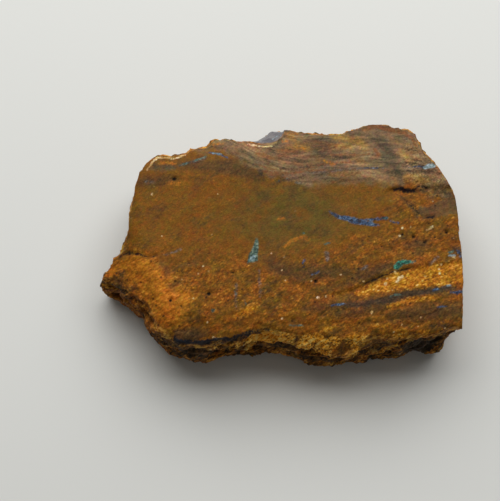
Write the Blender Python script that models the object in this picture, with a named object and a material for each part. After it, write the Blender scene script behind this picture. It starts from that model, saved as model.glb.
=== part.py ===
"""Rough opal specimen: one flat, thumb-sized chip of brown ironstone with thin opal seams.

The stone is one solid piece, broken off all round. Its top is a nearly flat face with two
shallow spalls, its walls are rough broken rock, and it lies on a flat underside. Everything
here is in millimetres until the last step, which writes metres.
"""
import math

import bpy
import numpy as np
from mathutils import Vector, noise

MM = 0.001

# Driving dimensions, in millimetres
CROWN_HEIGHT = 5.9          # underside to the flat part of the top face
CELLS_ALONG_X = 56          # faces of the top grid from left to right
CELLS_ALONG_Y = 38          # faces of the top grid from front to back
WALL_RINGS = 12             # bands of faces from the rim down to the foot
CENTRE_X = 0.28             # middle of the outline below, which goes to the origin
CENTRE_Y = -0.22

# Broad slopes of the top face
BACK_FALL = 0.65            # the banded back strip falls away towards the back edge
BACK_FALL_FROM_Y = 4.2
BACK_FALL_TO_Y = 8.4
FRONT_FALL = 0.35           # the top rolls over slightly at the front edge
FRONT_FALL_FROM_Y = -5.6
FRONT_FALL_TO_Y = -8.2
TIP_FALL = 1.3              # the grainy left tip lies well below the flat face
TIP_FALL_FROM_X = -9.8
TIP_FALL_TO_X = -12.9
TIP_SLANT = 0.35            # the fall begins further right towards the front
CORNER_FALL = 0.55          # the front left corner slopes away from this diagonal line
CORNER_FROM = 7.6
CORNER_TO = 12.4
CORNER_DIRECTION = (-0.6, -0.8)
SWELL = 0.07                # gentle waviness of the whole top
SWELL_LENGTH = 4.5
GRAIN = 0.035               # coarse grain of the top
GRAIN_LENGTH = 0.9

# Where each kind of unevenness starts in the noise, so that no two of them match
SWELL_SEED = 3.0
GRAIN_SEED = 11.0
LUMP_SEED = 5.0
CHIP_SEED = 9.0
BEDDING_SEED = 21.0
RIM_SEED = 31.0
WANDER_SEED = 41.0

# Roughness of the broken walls
WALL_LUMP = 0.40            # rounded lumps
WALL_LUMP_LENGTH = 3.1
WALL_CHIP = 0.22            # small chips
WALL_CHIP_LENGTH = 1.1
SCALLOP_WIDTH = 2.4         # shallow shell-like breaks with ridges between them
SCALLOP_HEIGHT = 1.5
SCALLOP_DEPTH = 0.70
SCALLOP_LEVEL = 0.5         # distance from a break's centre that lies level with the wall
WALL_WANDER = 0.35          # sideways drift, so that no upright edge runs straight
WALL_WANDER_LENGTH = 2.2
BEDDING_LEDGE = 0.26        # how far one bed of rock stands out past the next
BEDDING_SPACING = 1.5       # height of one bed
BEDDING_WARP = 0.6          # how far the beds rise and dip, in beds
BEDDING_WARP_LENGTH = 5.0
BELT_ROUNDNESS = 0.85       # 1 runs straight from the rim to the widest height
FRONT_ROUNDNESS = 0.42      # the same for a wall that faces the front: its shoulder slopes
RIM_ROUGHNESS = 0.25        # share of the wall's roughness that reaches the rim
RIM_CHIP = 0.30             # depth of the nicks along the rim
RIM_CHIP_LENGTH = 1.3
RIM_CHIP_SHARE = 0.1        # above 0, more than half of the rim is nicked
FACET_FROM_Z = 2.8          # walls that are widest above FACET_TO_Z are clean facets down to
FACET_TO_Z = 3.6            # there, and those widest below FACET_FROM_Z are rough all the way
FAN_REACH = 5               # rim points on each side that share their outward direction
SOFTEN_REACH = 5            # rim points on each side that soften the outline low down
KEEPS_OUTLINE = 0.5         # a wall that swells out this far is softened least
LEAST_SOFTENING = 0.3
# Share of the way down the wall by which each effect has reached its full strength
SOFTENED_BY = 0.7
ROUGH_BY = 0.25
POCKETS_BY = 0.15
WANDER_BY = 0.3

# The broken outline, anticlockwise from the front left corner. One station is
# (x, y, belt_out, belt_z, foot_in): the rim point, how far the wall swells out
# below it, the height where it is widest, and how far it draws in at the foot.
FRONT_SIDE = [
    (-7.30, -7.85, 0.60, 1.7, 0.7),
    (-6.00, -8.07, 0.62, 1.5, 0.6),
    (-4.40, -7.88, 0.54, 1.5, 0.5),
    (-3.20, -7.74, 0.50, 1.6, 0.5),
    (-2.00, -7.22, 0.78, 1.5, 0.5),
    (-1.10, -7.10, 0.78, 1.5, 0.5),
    (0.60, -7.38, 0.85, 1.4, 0.5),
    (1.20, -7.57, 0.95, 1.3, 0.5),
    (2.30, -7.42, 1.30, 1.3, 0.5),
    (3.30, -7.48, 1.35, 1.3, 0.5),
    (4.60, -7.82, 0.95, 1.4, 0.5),
    (6.00, -7.68, 0.90, 1.5, 0.5),
    (7.50, -7.50, 1.00, 1.5, 0.5),
    (8.80, -7.28, 1.25, 1.4, 0.5),
    (10.00, -7.52, 0.58, 1.3, 0.5),
    (10.90, -7.64, 0.34, 1.3, 0.5),
    (11.80, -7.28, 0.60, 1.3, 0.5),
    (12.60, -7.04, 0.15, 1.6, 0.6),
    (13.22, -7.25, -0.45, 2.6, 0.4),
]
RIGHT_SIDE = [
    (13.22, -7.25, -0.45, 2.6, 0.4),
    (13.26, -6.30, -0.15, 2.6, 0.5),
    (13.38, -4.70, -0.10, 2.6, 0.6),
    (13.38, -3.00, -0.10, 2.4, 0.6),
    (13.36, -1.36, 0.00, 2.4, 0.7),
    (13.22, -0.24, 0.00, 2.4, 0.7),
    (13.22, 1.07, 0.05, 2.4, 0.8),
    (13.14, 1.92, 0.05, 2.2, 0.8),
    (12.74, 2.87, 0.05, 2.2, 0.8),
    (12.14, 4.11, 0.05, 2.2, 0.8),
    (11.52, 5.17, 0.05, 2.2, 0.8),
    (10.89, 6.23, 0.10, 2.0, 0.8),
    (10.39, 7.58, 0.15, 2.0, 0.9),
]
BACK_SIDE = [
    (10.39, 7.58, 0.15, 2.0, 0.9),
    (9.85, 8.01, 0.20, 2.0, 0.8),
    (8.84, 8.08, 0.25, 2.0, 0.8),
    (8.39, 8.34, 0.20, 2.0, 0.8),
    (7.10, 8.35, 0.25, 2.0, 0.8),
    (5.80, 7.91, 0.35, 1.8, 0.8),
    (4.87, 7.59, 0.45, 1.8, 0.8),
    (3.40, 7.55, 0.50, 1.8, 0.8),
    (1.56, 7.76, 0.35, 2.2, 0.8),
    (0.70, 8.05, 0.35, 3.6, 0.8),
    (0.20, 7.15, 1.30, 4.0, 0.9),
    (-0.40, 6.65, 1.40, 4.0, 1.1),
    (-1.10, 6.65, 1.25, 4.0, 1.1),
    (-1.95, 6.95, 0.65, 3.6, 0.9),
    (-2.86, 7.08, 0.35, 2.2, 0.8),
    (-3.77, 7.31, 0.30, 2.0, 0.8),
    (-4.51, 7.16, 0.30, 2.0, 0.8),
    (-5.06, 6.56, 0.35, 2.0, 0.8),
    (-6.26, 6.32, 0.35, 2.0, 0.8),
    (-6.71, 5.99, 0.35, 2.0, 0.8),
    (-7.81, 5.85, 0.30, 2.0, 0.8),
    (-8.72, 6.01, 0.20, 2.0, 0.9),
]
LEFT_SIDE = [
    (-8.72, 6.01, 0.20, 2.0, 0.9),
    (-9.50, 5.30, 0.10, 2.0, 0.9),
    (-10.04, 4.56, 0.05, 2.2, 0.9),
    (-10.31, 3.55, -0.15, 2.2, 0.8),
    (-10.58, 2.22, -0.15, 2.2, 0.8),
    (-10.84, 0.34, -0.10, 2.2, 0.8),
    (-11.20, -1.01, 0.05, 2.0, 0.8),
    (-11.80, -1.65, 0.05, 2.0, 0.8),
    (-12.25, -2.20, 0.10, 1.8, 0.7),
    (-12.50, -2.85, 1.10, 1.8, 0.7),
    (-11.75, -3.00, 1.10, 1.6, 0.7),
    (-11.10, -3.35, 0.85, 1.6, 0.6),
    (-10.55, -3.80, 0.95, 1.6, 0.6),
    (-10.03, -4.20, 0.90, 1.6, 0.6),
    (-9.63, -4.75, 0.80, 1.6, 0.6),
    (-9.31, -5.40, 0.60, 1.7, 0.6),
    (-9.05, -5.95, 0.70, 1.8, 0.6),
    (-8.59, -6.60, 0.75, 1.8, 0.7),
    (-8.02, -7.05, 0.75, 1.7, 0.7),
    (-7.30, -7.85, 0.60, 1.7, 0.7),
]

# Shallow spalls in the top. Each one drops off a broken edge, deepest at the edge, and
# rises again to the flat face over its run, which widens from the edge's start to its end.
# Every edge runs from left to right, and the spall lies in front of it.
SPALLS = [
    {   # the bright grainy strip near the right front
        "edge": [(4.4, -4.5), (6.5, -3.8), (8.7, -3.0), (11.0, -2.45), (13.6, -2.2)],
        "depths": (0.18, 0.08), "runs": (1.0, 2.2),
    },
    {   # the hollow at the right rim
        "edge": [(8.6, 3.2), (9.9, 3.05), (11.1, 3.35), (13.4, 3.3)],
        "depths": (0.20, 0.16), "runs": (0.8, 2.6),
    },
]
SPALL_LIP = 0.2             # width of the broken edge itself
SPALL_FADE = 0.9            # how far a spall dies out past the start of its edge
BEND_FADE = 4.0             # how far before its start the grid begins to bend towards it
BEND_ROWS = 6               # rows on each side that share the bend

SHARP_ANGLE = 40            # degrees between faces from which their edge is drawn sharp
IRONSTONE_COLOR = (0.16, 0.072, 0.022, 1.0)
IRONSTONE_ROUGHNESS = 0.62

# Pockets broken out of the walls: (x, y, z, radius, depth)
WALL_POCKETS = [
    (11.6, -7.6, 3.3, 1.5, 0.55),
    (9.6, -7.9, 2.2, 0.9, 0.30),
    (-0.6, -8.0, 2.6, 1.4, 0.30),
    (-4.4, -8.5, 3.0, 1.2, 0.30),
    (-11.7, -3.6, 2.4, 1.0, 0.25),
    (5.0, 8.0, 2.5, 1.9, 0.40),
    (-6.6, 6.4, 2.6, 1.6, 0.35),
    (13.4, 0.3, 2.6, 1.8, 0.35),
    (-10.8, 2.0, 2.4, 1.8, 0.35),
]


def smooth_step(start, end, value):
    """Rise smoothly from 0 at start to 1 at end, whichever of the two is larger."""
    t = min(max((value - start) / (end - start), 0.0), 1.0)
    return t * t * (3.0 - 2.0 * t)


def ripple(x, y, z, length, seed):
    """Smooth noise between about -1 and 1, with features of the given length."""
    return noise.noise(Vector((x / length + seed, y / length, z / length)))


def edge_y(edge, x):
    """Where a spall's edge crosses the line at x, held level past the edge's ends."""
    return float(np.interp(x, [point[0] for point in edge], [point[1] for point in edge]))


def spall_depth(x, y, spall):
    """How far one spall lowers the top face at a point."""
    edge = spall["edge"]
    distance = edge_y(edge, x) - y
    if distance <= 0.0:
        return 0.0
    start = edge[0][0]
    share = min(max((x - start) / (edge[-1][0] - start), 0.0), 1.0)
    depth = spall["depths"][0] + (spall["depths"][1] - spall["depths"][0]) * math.sqrt(share)
    run = spall["runs"][0] + (spall["runs"][1] - spall["runs"][0]) * share
    drop = min(distance / SPALL_LIP, 1.0)
    rise = 1.0 - min(max((distance - SPALL_LIP) / (run - SPALL_LIP), 0.0), 1.0)
    fade = smooth_step(start - SPALL_FADE, start, x)
    return depth * drop * rise * fade


def top_height(x, y):
    """Height of the top face above the underside."""
    z = CROWN_HEIGHT
    z -= BACK_FALL * smooth_step(BACK_FALL_FROM_Y, BACK_FALL_TO_Y, y)
    z -= FRONT_FALL * smooth_step(FRONT_FALL_FROM_Y, FRONT_FALL_TO_Y, y)
    along_tip = x + TIP_SLANT * min(y, 0.0)
    z -= TIP_FALL * smooth_step(TIP_FALL_FROM_X, TIP_FALL_TO_X, along_tip)
    to_corner = CORNER_DIRECTION[0] * x + CORNER_DIRECTION[1] * y
    z -= CORNER_FALL * smooth_step(CORNER_FROM, CORNER_TO, to_corner)
    for spall in SPALLS:
        z -= spall_depth(x, y, spall)
    z += SWELL * ripple(x, y, 0.0, SWELL_LENGTH, SWELL_SEED)
    z += GRAIN * ripple(x, y, 0.0, GRAIN_LENGTH, GRAIN_SEED)
    return z


def divide_side(stations, cells):
    """Points along one side, evenly spaced but with every station kept as a point."""
    lengths = [0.0]
    for a, b in zip(stations, stations[1:]):
        lengths.append(lengths[-1] + math.hypot(b[0] - a[0], b[1] - a[1]))
    stops = [round(cells * length / lengths[-1]) for length in lengths]
    points = []
    for (a, b), (start, end) in zip(zip(stations, stations[1:]), zip(stops, stops[1:])):
        for step in range(start, end):
            t = (step - start) / (end - start)
            points.append(tuple(p + (q - p) * t for p, q in zip(a, b)))
    points.append(stations[-1])
    return points


def top_grid(front, right, back, left):
    """A Coons patch: the grid of (x, y) points that fills the four sides of the rim."""
    back = back[::-1]
    left = left[::-1]
    grid = np.zeros((CELLS_ALONG_Y + 1, CELLS_ALONG_X + 1, 2))
    for j in range(CELLS_ALONG_Y + 1):
        v = j / CELLS_ALONG_Y
        for i in range(CELLS_ALONG_X + 1):
            u = i / CELLS_ALONG_X
            for k in (0, 1):
                ruled_y = (1 - v) * front[i][k] + v * back[i][k]
                ruled_x = (1 - u) * left[j][k] + u * right[j][k]
                corners = ((1 - v) * ((1 - u) * front[0][k] + u * front[-1][k])
                           + v * ((1 - u) * back[0][k] + u * back[-1][k]))
                grid[j, i, k] = ruled_y + ruled_x - corners
    return grid


def fit_rows_to_spalls(grid):
    """Bend one row of the grid onto each spall's edge, and lay the next row at its foot."""
    for spall in SPALLS:
        edge = spall["edge"]
        start = edge[0][0]
        middle = [(first + last) / 2 for first, last in zip(edge[0], edge[-1])]
        away = np.hypot(grid[:, :, 0] - middle[0], grid[:, :, 1] - middle[1])
        row = int(np.unravel_index(np.argmin(away), away.shape)[0])
        for i in range(1, CELLS_ALONG_X + 1):
            x, y = grid[row, i]
            shift = edge_y(edge, x) - y
            shift *= smooth_step(start - BEND_FADE, start - SPALL_FADE, x)
            for step in range(-BEND_ROWS, BEND_ROWS + 1):
                grid[row + step, i, 1] += shift * (1.0 - abs(step) / (BEND_ROWS + 1))
            if x > start - SPALL_FADE:
                grid[row - 1, i, 1] = grid[row, i, 1] - SPALL_LIP


def rim_indices():
    """Grid places (row, column) of the rim, anticlockwise from the front left corner."""
    last_row = CELLS_ALONG_Y
    last_column = CELLS_ALONG_X
    front = [(0, i) for i in range(last_column)]
    right = [(j, last_column) for j in range(last_row)]
    back = [(last_row, i) for i in range(last_column, 0, -1)]
    left = [(j, 0) for j in range(last_row, 0, -1)]
    return front + right + back + left


def outward_directions(rim):
    """Level unit vectors out of the stone, shared between neighbours so that they fan out."""
    count = len(rim)
    normals = []
    for i in range(count):
        ahead = rim[(i + 1) % count]
        behind = rim[i - 1]
        edge = Vector((ahead[0] - behind[0], ahead[1] - behind[1]))
        normals.append(Vector((edge.y, -edge.x)).normalized())
    directions = []
    for i in range(count):
        total = Vector((0.0, 0.0))
        for reach in range(-FAN_REACH, FAN_REACH + 1):
            total += normals[(i + reach) % count] * (FAN_REACH + 1 - abs(reach))
        directions.append(total.normalized())
    return directions


def softened(rim):
    """The rim's stations averaged with their neighbours, for the outline low down."""
    count = len(rim)
    span = range(-SOFTEN_REACH, SOFTEN_REACH + 1)
    return [tuple(sum(rim[(i + reach) % count][k] for reach in span) / len(span)
                  for k in range(len(rim[0])))
            for i in range(count)]


def bedding(x, y, z):
    """Sawtooth of the rock's beds: each one overhangs the one below it a little."""
    warp = BEDDING_WARP * ripple(x, y, 0.0, BEDDING_WARP_LENGTH, BEDDING_SEED)
    bed = z / BEDDING_SPACING + warp
    share_of_bed = bed - math.floor(bed)
    return BEDDING_LEDGE * (share_of_bed - 0.5)


def scallop(x, y, z):
    """Shell-like breaks: each cell of space is hollow, and ridges stand between the cells."""
    here = Vector((x / SCALLOP_WIDTH, y / SCALLOP_WIDTH, z / SCALLOP_HEIGHT))
    to_centre = noise.voronoi(here)[0][0]
    return SCALLOP_DEPTH * (to_centre - SCALLOP_LEVEL)


def rim_chip(x, y):
    """How far the rim is nicked at a point."""
    return RIM_CHIP * max(0.0, ripple(x, y, 0.0, RIM_CHIP_LENGTH, RIM_SEED) + RIM_CHIP_SHARE)


def pocket_depth(x, y, z):
    """How far the pockets draw the wall in at a point."""
    depth = 0.0
    for px, py, pz, radius, deepest in WALL_POCKETS:
        distance = math.dist((x, y, z), (px, py, pz))
        depth += deepest * (1.0 - smooth_step(0.0, radius, distance))
    return depth


def wall_point(rim_point, soft_point, rim_z, direction, drop):
    """A point of the wall at a share, drop, of the way from the rim to the foot."""
    belt_out, belt_z, foot_in = rim_point[2:]
    swell = min(max(belt_out / KEEPS_OUTLINE, 0.0), 1.0)
    soft = smooth_step(0.0, SOFTENED_BY, drop) * (1.0 - (1.0 - LEAST_SOFTENING) * swell)
    x, y = (a + (b - a) * soft for a, b in zip(rim_point[:2], soft_point[:2]))
    z = rim_z * (1.0 - drop)
    to_front = smooth_step(0.0, 1.0, -direction.y)
    roundness = BELT_ROUNDNESS + (FRONT_ROUNDNESS - BELT_ROUNDNESS) * to_front
    if z > belt_z:
        out = belt_out * ((rim_z - z) / (rim_z - belt_z)) ** roundness
    else:
        out = belt_out - foot_in * ((belt_z - z) / belt_z) ** 2
    px = x + direction.x * out
    py = y + direction.y * out
    rough = WALL_LUMP * ripple(px, py, z, WALL_LUMP_LENGTH, LUMP_SEED)
    rough += WALL_CHIP * ripple(px, py, z, WALL_CHIP_LENGTH, CHIP_SEED)
    rough += bedding(px, py, z) + scallop(px, py, z)
    clean_to = (1.0 - belt_z / rim_z) * smooth_step(FACET_FROM_Z, FACET_TO_Z, belt_z)
    rough *= RIM_ROUGHNESS + (1.0 - RIM_ROUGHNESS) * smooth_step(clean_to, clean_to + ROUGH_BY, drop)
    rough -= pocket_depth(px, py, z) * smooth_step(0.0, POCKETS_BY, drop)
    wander = WALL_WANDER * ripple(px, py, z, WALL_WANDER_LENGTH, WANDER_SEED)
    wander *= min(drop / WANDER_BY, 1.0)
    px += direction.x * rough - direction.y * wander
    py += direction.y * rough + direction.x * wander
    return px, py, z


def stone_mesh():
    """The closed surface of the stone: top grid, wall rings and one flat underside."""
    sides = [
        divide_side(FRONT_SIDE, CELLS_ALONG_X),
        divide_side(RIGHT_SIDE, CELLS_ALONG_Y),
        divide_side(BACK_SIDE, CELLS_ALONG_X),
        divide_side(LEFT_SIDE, CELLS_ALONG_Y),
    ]
    grid = top_grid(*sides)
    fit_rows_to_spalls(grid)
    stations = [point for side in sides for point in side[:-1]]
    rim = [(*grid[place], *station[2:]) for place, station in zip(rim_indices(), stations)]
    soft_rim = softened(rim)
    directions = outward_directions(rim)

    vertices = []
    for row in grid:
        vertices.extend((x, y, top_height(x, y)) for x, y in row)
    faces = []
    columns = CELLS_ALONG_X + 1
    for j in range(CELLS_ALONG_Y):
        for i in range(CELLS_ALONG_X):
            corner = j * columns + i
            faces.append((corner, corner + 1, corner + columns + 1, corner + columns))

    count = len(rim)
    upper = [j * columns + i for j, i in rim_indices()]
    for index in upper:
        x, y, z = vertices[index]
        vertices[index] = (x, y, z - rim_chip(x, y))
    rim_heights = [vertices[index][2] for index in upper]
    for ring in range(1, WALL_RINGS + 1):
        drop = ring / WALL_RINGS
        lower = range(len(vertices), len(vertices) + count)
        for point, soft_point, rim_z, direction in zip(rim, soft_rim, rim_heights, directions):
            vertices.append(wall_point(point, soft_point, rim_z, direction, drop))
        for i in range(count):
            after = (i + 1) % count
            faces.append((upper[after], upper[i], lower[i], lower[after]))
        upper = list(lower)
    faces.append(tuple(reversed(upper)))

    placed = [((x - CENTRE_X) * MM, (y - CENTRE_Y) * MM, z * MM) for x, y, z in vertices]
    mesh = bpy.data.meshes.new("rough_opal")
    mesh.from_pydata(placed, [], faces)
    mesh.validate()
    return mesh


def ironstone_material():
    """Plain warm brown of the ironstone."""
    material = bpy.data.materials.new("ironstone")
    material.use_nodes = True
    shader = material.node_tree.nodes["Principled BSDF"]
    shader.inputs["Base Color"].default_value = IRONSTONE_COLOR
    shader.inputs["Roughness"].default_value = IRONSTONE_ROUGHNESS
    shader.inputs["Metallic"].default_value = 0.0
    return material


def build_stone():
    """The one piece of the specimen."""
    mesh = stone_mesh()
    mesh.materials.append(ironstone_material())
    mesh.shade_smooth()
    mesh.set_sharp_from_angle(angle=math.radians(SHARP_ANGLE))
    stone = bpy.data.objects.new("rough_opal", mesh)
    bpy.context.scene.collection.objects.link(stone)
    return stone


for leftover in list(bpy.data.objects):
    bpy.data.objects.remove(leftover)
build_stone()
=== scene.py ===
"""Looks of the rough opal specimen: a 27 mm chip of brown ironstone with opal seams.

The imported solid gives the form. It is copied as one fine mesh, roughened as broken and ground
ironstone is, and coloured by one procedural material. Lengths are in millimetres unless a
comment says otherwise, and the finished mesh is scaled back to metres. The front is where y is
low, as in the photograph.
"""
import math

import bpy
import numpy as np
from mathutils import Matrix, Vector, kdtree, noise


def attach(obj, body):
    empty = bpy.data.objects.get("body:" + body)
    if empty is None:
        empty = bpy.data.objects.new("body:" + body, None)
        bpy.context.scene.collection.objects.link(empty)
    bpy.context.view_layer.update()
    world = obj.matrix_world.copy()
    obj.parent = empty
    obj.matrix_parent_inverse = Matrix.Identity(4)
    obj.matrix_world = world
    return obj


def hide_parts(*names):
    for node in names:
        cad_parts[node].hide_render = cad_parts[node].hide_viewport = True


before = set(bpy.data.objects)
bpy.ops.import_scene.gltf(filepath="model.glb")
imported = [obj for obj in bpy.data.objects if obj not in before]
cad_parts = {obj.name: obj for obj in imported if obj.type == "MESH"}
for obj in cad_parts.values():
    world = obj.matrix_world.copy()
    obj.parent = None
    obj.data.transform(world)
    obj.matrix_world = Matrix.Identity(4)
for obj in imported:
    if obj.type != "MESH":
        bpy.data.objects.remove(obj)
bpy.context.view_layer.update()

MM = 0.001
NODE = "rough_opal"

# The fine mesh, and the sheets in the rock that its marks are
VOXEL = 0.125               # edge length of the even mesh
TOP_LEVEL = 5.6             # height at which the marks below are drawn
DIP = (0.25, 0.55)          # how far a sheet moves in x and y for each millimetre up
SEAM_WARP = 0.35            # sideways wander of the sheets for each millimetre down
SEAM_WARP_LENGTH = 3.5
SEAM_WARP_DEPTH = 0.8       # where that wander begins
MARK_WANDER = 0.07          # how far the edge of a mark strays
ZONE_WANDER = 0.5           # and the edge of a zone
WANDER_LENGTH = 0.9
SINKING = 0.15              # what a mark's half width loses well below the face
SINKING_DEPTHS = (0.7, 1.4)

# Relief added to the solid
TOP_WAVE = 0.030            # slow waviness of the ground face
TOP_WAVE_LENGTH = 1.4
TOP_GRAIN = 0.022           # grain of the whole top
COARSE_GRAIN = 0.060        # added grain where the face is rough
GRAIN_LENGTH = 0.34
CRYSTAL_GRAIN = 0.11        # and on the golden crystals below the front rim
PIT_DEPTH = 0.16
GROOVE_DEPTH = 0.08         # of the cracks drawn as black strokes
RECESS_DEPTH = 0.20
WALL_LAYERS = 0.26          # broken layers of the walls
WALL_LAYER_LENGTH = 1.5
WALL_LAYER_SQUEEZE = 2.6    # layers are this much thinner than they are long
WALL_LAYER_RISE = 25        # degrees by which they rise to the right
THIN_LAYERS = 0.45          # size of the thinner layers among them
WALL_GRAIN = 0.06
RIM_SHARE = 0.15            # what is left of the walls' relief at the rim
UNDERSIDE_PITS = 0.10
UNDERSIDE_PIT_LENGTH = 0.9

# Shifts of the noise, so that no two uses of it are alike
SEAM_SEEDS = (51.0, 57.0)
WANDER_SEEDS = (61.0, 63.0)
LAYER_SEEDS = (71.0, 73.0)
GRAIN_SEED = 81.0
WAVE_SEED = 83.0
UNDERSIDE_SEED = 87.0

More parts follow.
